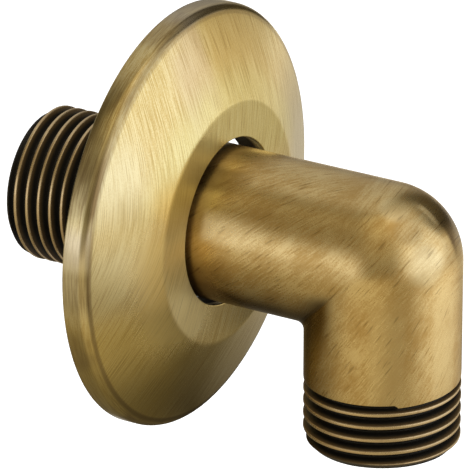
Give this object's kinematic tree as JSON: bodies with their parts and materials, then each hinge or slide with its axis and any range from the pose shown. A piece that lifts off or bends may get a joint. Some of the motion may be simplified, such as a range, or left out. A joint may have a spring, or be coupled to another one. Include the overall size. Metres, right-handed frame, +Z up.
{
  "type": "wall outlet elbow",
  "caption": "Brass wall outlet elbow: a right-angle pipe with a male thread at either end and a loose conical wall flange that slides along it.",
  "frame": {"origin": "on the inlet pipe's axis, in the plane of the finished wall where the flange's back rim bears", "axes": "+Y along the inlet pipe into the wall, -Y out to the user, +Z up; the outlet leg points down along -Z"},
  "size_m": [0.0578, 0.0632, 0.0578],
  "materials": {
    "elbow_brass": "darkened and brushed, satin",
    "flange_brass": "darkened and brushed, satin"
  },
  "bodies": {
    "elbow": {"elbow": "elbow_brass"},
    "wall_flange": {"wall_flange": "flange_brass"}
  },
  "joints": [
    {"name": "flange_slide", "type": "slide", "parent": "elbow", "child": "wall_flange", "axis": [0, -1, 0], "range_m": [-0.0205, 0.0115]}
  ]
}
